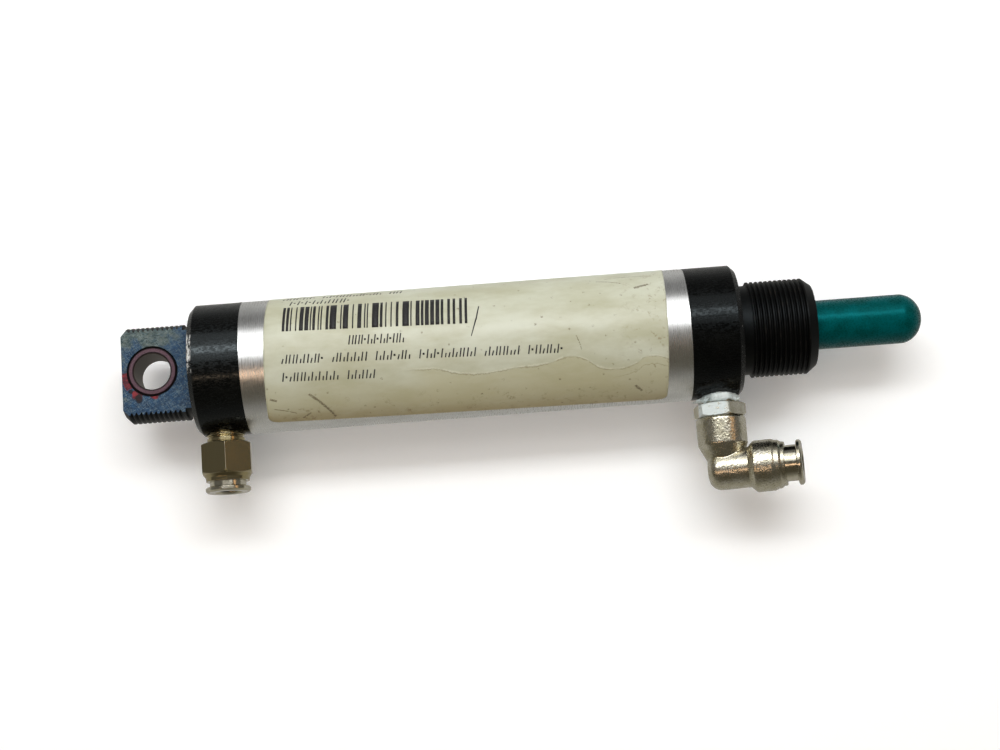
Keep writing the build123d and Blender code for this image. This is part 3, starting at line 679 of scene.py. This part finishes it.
NODES_BY_LOOK = {
    "rear": ("rear_head",),
    "front": ("front_head",),
    "tube": ("barrel_tube",),
    "paper": ("label",),
    "nickel": ("straight_fitting_sleeve", "straight_fitting_collet", "elbow_sleeve", "elbow_collet"),
    "taped": ("elbow_stud",),
    "tarnished": ("straight_fitting_body",),
    "cast": ("elbow_body",),
    "bushing": ("pivot_bushing",),
    "bronze": ("rod_bearing",),
    "steel": ("piston_rod",),
    "stainless": ("straight_fitting_gripper", "elbow_gripper", "elbow_swivel_clip"),
    "piston": ("piston",),
    "nut": ("piston_nut",),
    "rubber": (
        "rear_head_oring", "front_head_oring", "rod_seal", "straight_fitting_oring", "elbow_swivel_oring",
        "elbow_oring", "piston_seal_rear", "piston_seal_front", "piston_oring",
    ),
    "urethane": ("rod_wiper",),
    "acetal": ("piston_wear_ring",),
    "ptfe": ("thread_seal_tape",),
    "vinyl": ("rod_cap",),
}


def dress_nodes():
    """Gives every CAD node its material."""
    for look, nodes in NODES_BY_LOOK.items():
        for node in nodes:
            mesh = NODES[node].data
            mesh.materials.clear()
            mesh.materials.append(LOOKS[look])


# ================= pieces built here =================
def add_piece(name, bm, look, body):
    """Turns a bmesh in millimetres into a piece that rides on a body."""
    bmesh.ops.recalc_face_normals(bm, faces=bm.faces)
    bmesh.ops.scale(bm, vec=(MM, MM, MM), verts=bm.verts)
    mesh = bpy.data.meshes.new(name)
    bm.to_mesh(mesh)
    bm.free()
    mesh.materials.append(LOOKS[look])
    piece = bpy.data.objects.new(name, mesh)
    bpy.context.scene.collection.objects.link(piece)
    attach(piece, body)
    return piece


def slab(bm, place, count_a, count_b, low, high):
    """A closed sheet from lift low to lift high. place(a, b, lift) is a point, a and b from 0 to 1."""
    layers = []
    for lift in (low, high):
        grid = {}
        for a in range(count_a + 1):
            for b in range(count_b + 1):
                grid[a, b] = bm.verts.new(place(a / count_a, b / count_b, lift))
        layers.append(grid)
    bottom, top = layers
    for a in range(count_a):
        for b in range(count_b):
            ring = ((a, b), (a + 1, b), (a + 1, b + 1), (a, b + 1))
            bm.faces.new([top[corner] for corner in ring]).smooth = True
            bm.faces.new([bottom[corner] for corner in reversed(ring)]).smooth = True
    rim = [(a, 0) for a in range(count_a)] + [(count_a, b) for b in range(count_b)]
    rim += [(a, count_b) for a in range(count_a, 0, -1)] + [(0, b) for b in range(count_b, 0, -1)]
    for here, there in zip(rim, rim[1:] + rim[:1]):
        bm.faces.new((bottom[here], bottom[there], top[there], top[here]))


def tide_height(along):
    """Height of the dried stain's edge above the label's lower edge."""
    for (u0, q0), (u1, q1) in zip(TIDE_LINE, TIDE_LINE[1:]):
        if along <= u1:
            share = max(0.0, (along - u0) / (u1 - u0))
            return q0 + (q1 - q0) * share * share * (3 - 2 * share)
    return TIDE_LINE[-1][1]


def on_label(along, up, lift):
    """A point of the rolled label: lift is its height over the label's face."""
    buckle = LABEL_WAVE * noise.noise(Vector((along * 0.11, up * 0.3, 4.0)))
    if along > TIDE_SEEN_FROM:
        past = (up - tide_height(along)) / TIDE_RIDGE_WIDTH
        buckle += TIDE_RIDGE * math.exp(-past * past)
    x = LABEL_X0 + along * math.cos(LABEL_TILT) + up * math.sin(LABEL_TILT)
    arc = LABEL_LOW_ARC - along * math.sin(LABEL_TILT) + up * math.cos(LABEL_TILT)
    radius = LABEL_R + buckle + lift
    return Vector((x, radius * math.sin(arc / LABEL_R), radius * math.cos(arc / LABEL_R)))


def add_label():
    """The label as a thin sheet with rounded corners, rolled round the tube."""
    bm = bmesh.new()

    def place(a, b, lift):
        up = b * LABEL_HEIGHT
        into_corner = max(0.0, LABEL_CORNER - min(up, LABEL_HEIGHT - up))
        inset = LABEL_CORNER - math.sqrt(LABEL_CORNER ** 2 - into_corner ** 2)
        along = inset + a * (LABEL_LENGTH - 2 * inset)
        return on_label(along, up, lift)

    slab(bm, place, *LABEL_CELLS, -LABEL_THICKNESS, 0.0)
    label = add_piece("label_sheet", bm, "paper", "barrel")
    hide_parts("label")


def stroke(bm, start, end, width, steps=1, taper=1.0):
    """A printed line on the label. taper is its width at the end as a share of that at the start."""
    start, end = Vector(start), Vector(end)
    run = end - start
    side = Vector((-run.y, run.x)).normalized()

    def place(a, b, lift):
        spread = (b - 0.5) * width * (1 + (taper - 1) * a)
        point = start + run * a + side * spread
        return on_label(point.x, point.y, lift)

    slab(bm, place, steps, 1, INK_LOW, INK_HIGH)


def add_bar_pattern(bm, rng, start, end, low, high):
    """Plain upright bars of mixed widths that stand for no code."""
    at = start
    while at < end:
        width = BAR_MODULE * rng.choice((1, 1, 2, 2, 3, 4, 5))
        stroke(bm, (at + width / 2, low), (at + width / 2, high), width, 8)
        at += width + BAR_MODULE * rng.choice((1, 1, 2, 2, 3))


def add_mark_row(bm, rng, start, end, low, high, pitch):
    """A row of slanted ticks and dots in groups, which spells nothing."""
    height = high - low
    lean = pitch * 0.2
    wide = pitch * 0.55
    at = start
    left_in_group = rng.randint(4, 9)
    while at + pitch <= end:
        if left_in_group == 0:
            at += pitch
            left_in_group = rng.randint(4, 9)
            continue
        left_in_group -= 1
        kind = rng.randrange(4)
        top = high if kind != 1 else low + height * 0.55
        stroke(bm, (at, low), (at + lean, top), MARK_PEN, 2)
        if kind in (0, 1):
            stroke(bm, (at + wide, low), (at + wide + lean, high), MARK_PEN, 2)
        elif kind == 2:
            dot = low + height * 0.5
            reach = MARK_PEN * 0.8
            stroke(bm, (at + wide, dot - reach), (at + wide, dot + reach), MARK_PEN * 1.5)
        else:
            stroke(bm, (at + wide, low), (at + wide + lean * 0.5, low + height * 0.5), MARK_PEN, 2)
        at += pitch


def add_print():
    """Generic printing: a bar pattern, rows of marks, and a stroke of a pen."""
    rng = random.Random(7)
    bm = bmesh.new()
    add_bar_pattern(bm, rng, *BAR_PATTERN)
    for row in MARK_ROWS:
        add_mark_row(bm, rng, *row)
    for part in PEN_STROKE:
        stroke(bm, *part)
    add_piece("label_print", bm, "ink", "barrel")


def by_stud(across, depth, forward):
    """A point by the elbow's stud: across along X, depth from the cylinder's axis, forward along Z."""
    return Vector((STUD_X + across, -depth, forward))


def add_tape():
    """Ragged sealing tape squeezed out between the head and the stud's hexagon, with a few loose ends."""
    bm = bmesh.new()
    turns = 260
    section = 24
    loops = []
    for turn in range(turns):
        angle = math.tau * turn / turns
        way = Vector((math.cos(angle), math.sin(angle), 0))
        ragged = noise.fractal(way * 2.6 + Vector((0, 0, 3)), 1.0, 2.0, 4)
        fat = max(0.06, 0.4 + 0.5 * ragged)
        start = math.sqrt(BODY_R ** 2 - (STUD_THREAD_R * way.y) ** 2) - 0.15
        end = STUD_HEX_D - 0.45 + 0.45 * noise.noise(way * 4.0)
        middle = (start + end) / 2
        half = (end - start) / 2
        loop = []
        for step in range(section):
            phase = math.tau * step / section
            depth = middle + half * math.sin(phase)
            layers = 0.1 * math.sin(depth * 9.0 + 2.0 * noise.noise(way * 2.0))
            folds = 0.16 * noise.noise(Vector((way.x * 9, way.y * 9, depth * 2.6)))
            out = STUD_THREAD_R - 0.08 + (fat + folds + layers) * max(math.cos(phase), -0.6)
            loop.append(bm.verts.new(by_stud(way.x * out, depth, way.y * out)))
        loops.append(loop)
    for here, there in zip(loops, loops[1:] + loops[:1]):
        for step in range(section):
            after = (step + 1) % section
            face = bm.faces.new((here[step], here[after], there[after], there[step]))
            face.smooth = True
    for loose_end in LOOSE_ENDS:
        add_loose_end(bm, *loose_end)
    tape = add_piece("sealing_tape", bm, "ptfe", "barrel")
    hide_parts("thread_seal_tape")


def add_loose_end(bm, angle, length, width, curl):
    """A short strip of tape that stands away from the stud and curls."""
    way = Vector((math.cos(angle), math.sin(angle)))

    def place(a, b, lift):
        out = STUD_THREAD_R + length * a
        spread = (b - 0.5) * width * (1 - 0.45 * a)
        aside = spread * 0.4 + curl * a * a
        wave = 0.2 * noise.noise(Vector((a * 3.0, b * 3.0, angle)))
        x = way.x * out - way.y * aside
        z = way.y * out + way.x * aside
        return by_stud(x, LOOSE_END_D + spread * 0.6 + wave + lift, z)

    slab(bm, place, 12, 6, -LOOSE_END_LIFT, LOOSE_END_LIFT)


def evenly_meshed(source, voxel):
    """A bmesh in millimetres of a CAD node's shape, rebuilt from small even faces."""
    mesh = source.data.copy()
    shape = bpy.data.objects.new("even_shape", mesh)
    bpy.context.scene.collection.objects.link(shape)
    remesh = shape.modifiers.new("even", "REMESH")
    remesh.mode = "VOXEL"
    remesh.voxel_size = voxel * MM
    depsgraph = bpy.context.evaluated_depsgraph_get()
    even = bpy.data.meshes.new_from_object(shape.evaluated_get(depsgraph))
    bm = bmesh.new()
    bm.from_mesh(even)
    bmesh.ops.scale(bm, vec=(1 / MM, 1 / MM, 1 / MM), verts=bm.verts)
    bpy.data.objects.remove(shape)
    bpy.data.meshes.remove(mesh)
    bpy.data.meshes.remove(even)
    return bm


def is_cast_skin(place):
    """True on the elbow's outside, short of its turned end and away from its bores."""
    x, y, z = place.x - STUD_X, place.y + ARM_D, place.z
    along = x * math.cos(ARM_YAW) + z * math.sin(ARM_YAW)
    beside = z * math.cos(ARM_YAW) - x * math.sin(ARM_YAW)
    in_socket = y > SOCKET_START and math.hypot(x, z) < SOCKET_R
    in_cavity = along > CAVITY_START and math.hypot(y, beside) < CAVITY_R
    outside = along < ARM_CAST_END and place.y < -STUD_HEX_TOP_D - 0.2
    return outside and not in_socket and not in_cavity


def add_cast_elbow():
    """The elbow as it is cast, with soft edges and a pebbled skin. Its turned end stays crisp."""
    bm = evenly_meshed(NODES["elbow_body"], voxel=0.17)
    skin = [vert for vert in bm.verts if is_cast_skin(vert.co)]
    softening_passes = 7
    for _ in range(softening_passes):
        bmesh.ops.smooth_vert(
            bm, verts=skin, factor=0.5, use_axis_x=True, use_axis_y=True, use_axis_z=True
        )
    bm.normal_update()
    pebble_depth = 0.035
    for vert in skin:
        pebble = noise.noise(vert.co * 2.4) + 0.6 * noise.noise(vert.co * 4.6)
        vert.co += vert.normal * pebble * pebble_depth
    for face in bm.faces:
        face.smooth = True
    elbow = add_piece("elbow_casting", bm, "cast", "elbow")
    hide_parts("elbow_body")


# ================= camera, floor and light =================
def add_camera():
    """Looks almost straight down, a little from the ports' side, and rolled."""
    across = Vector((1, 0, 0))
    upward = Vector((0, math.sin(CAMERA_ELEVATION), math.cos(CAMERA_ELEVATION)))
    right = across * math.cos(CAMERA_ROLL) - upward * math.sin(CAMERA_ROLL)
    up = across * math.sin(CAMERA_ROLL) + upward * math.cos(CAMERA_ROLL)
    back = Vector((0, -math.cos(CAMERA_ELEVATION), math.sin(CAMERA_ELEVATION)))
    data = bpy.data.cameras.new("camera")
    data.lens = CAMERA_LENS
    data.sensor_width = 36.0
    data.clip_start = 0.01
    camera = bpy.data.objects.new("camera", data)
    bpy.context.scene.collection.objects.link(camera)
    turn = Matrix((right, up, back)).transposed()
    camera.matrix_world = Matrix.Translation(CAMERA_PLACE * MM) @ turn.to_4x4()
    bpy.context.scene.camera = camera


def white_shader(name):
    """A white paint that glows, once its emission strength is set."""
    s = Shader(name)
    cloud = s.noise(s.stretched(0.002, 0.002, 0.002))
    s.set(Base_Color=s.mix(cloud, srgb(248, 248, 248), srgb(250, 250, 250)), Roughness=0.6)
    s.bsdf.inputs["Emission Color"].default_value = srgb(255, 255, 255)
    return s


def add_floor():
    """A white floor that reflections skip. It glows a little near the object and more further out."""
    s = white_shader("floor_look")
    away = s.length(s.stretched(1, 1, 0))
    s.set(Emission_Strength=s.blend(s.between(away, *FLOOR_GLOW_GROWS), *FLOOR_GLOW))
    bpy.ops.mesh.primitive_plane_add(size=FLOOR_SIZE, location=(MIDDLE.x, 0, FLOOR_Z * MM))
    floor = bpy.context.object
    floor.name = "floor"
    floor.data.materials.append(s.mat)
    floor.visible_glossy = False


def add_backdrop():
    """A white wall all round, seen by the camera alone: it neither lights nor shades the object."""
    s = white_shader("backdrop_look")
    s.set(Emission_Strength=1.0)
    bpy.ops.mesh.primitive_cylinder_add(
        vertices=96, radius=BACKDROP_R, depth=BACKDROP_HEIGHT, end_fill_type="NOTHING", location=MIDDLE
    )
    wall = bpy.context.object
    wall.name = "backdrop"
    wall.data.materials.append(s.mat)
    wall.visible_diffuse = False
    wall.visible_glossy = False
    wall.visible_shadow = False


def add_area(name, place, size_x, size_y, watts, color, mirrored):
    """A rectangular lamp at place that faces the object, its first side level with X."""
    data = bpy.data.lights.new(name, "AREA")
    data.shape = "RECTANGLE"
    data.size = size_x
    data.size_y = size_y
    data.energy = watts
    data.color = color
    light = bpy.data.objects.new(name, data)
    bpy.context.scene.collection.objects.link(light)
    light.visible_glossy = mirrored
    back = (Vector(place) - MIDDLE).normalized()
    across = Vector((0, 1, 0)).cross(back).normalized()
    up = back.cross(across)
    light.matrix_world = Matrix.Translation(place) @ Matrix((across, up, back)).transposed().to_4x4()


def add_world():
    """A soft room with the tones of ROOM_TONES: dim overhead, brighter below the horizon."""
    world = bpy.data.worlds.new("room")
    world.use_nodes = True
    tree = world.node_tree
    tree.nodes.clear()
    new, link = tree.nodes.new, tree.links.new
    coords = new("ShaderNodeTexCoord")
    split = new("ShaderNodeSeparateXYZ")
    lean = new("ShaderNodeMath")
    ramp = new("ShaderNodeValToRGB")
    background = new("ShaderNodeBackground")
    out = new("ShaderNodeOutputWorld")
    link(coords.outputs["Generated"], split.inputs[0])
    lean.operation = "ARCTAN2"
    link(split.outputs["Y"], lean.inputs[0])
    link(split.outputs["Z"], lean.inputs[1])
    share = new("ShaderNodeMapRange")
    share.inputs["From Min"].default_value = -math.pi
    share.inputs["From Max"].default_value = math.pi
    link(lean.outputs[0], share.inputs["Value"])
    link(share.outputs["Result"], ramp.inputs["Fac"])
    elements = ramp.color_ramp.elements
    elements[0].color = ROOM_TONES[0][1] + (1,)
    elements[1].color = ROOM_TONES[-1][1] + (1,)
    for angle, tone in ROOM_TONES[1:-1]:
        elements.new((angle + 180) / 360).color = tone + (1,)
    link(ramp.outputs["Color"], background.inputs["Color"])
    link(background.outputs[0], out.inputs["Surface"])
    bpy.context.scene.world = world


# ================= the scene, put together =================
dress_nodes()
add_label()
add_print()
add_tape()
add_cast_elbow()
add_camera()
add_floor()
add_backdrop()
add_world()
for light in LIGHTS:
    add_area(*light)
bpy.context.scene.view_settings.view_transform = "Standard"
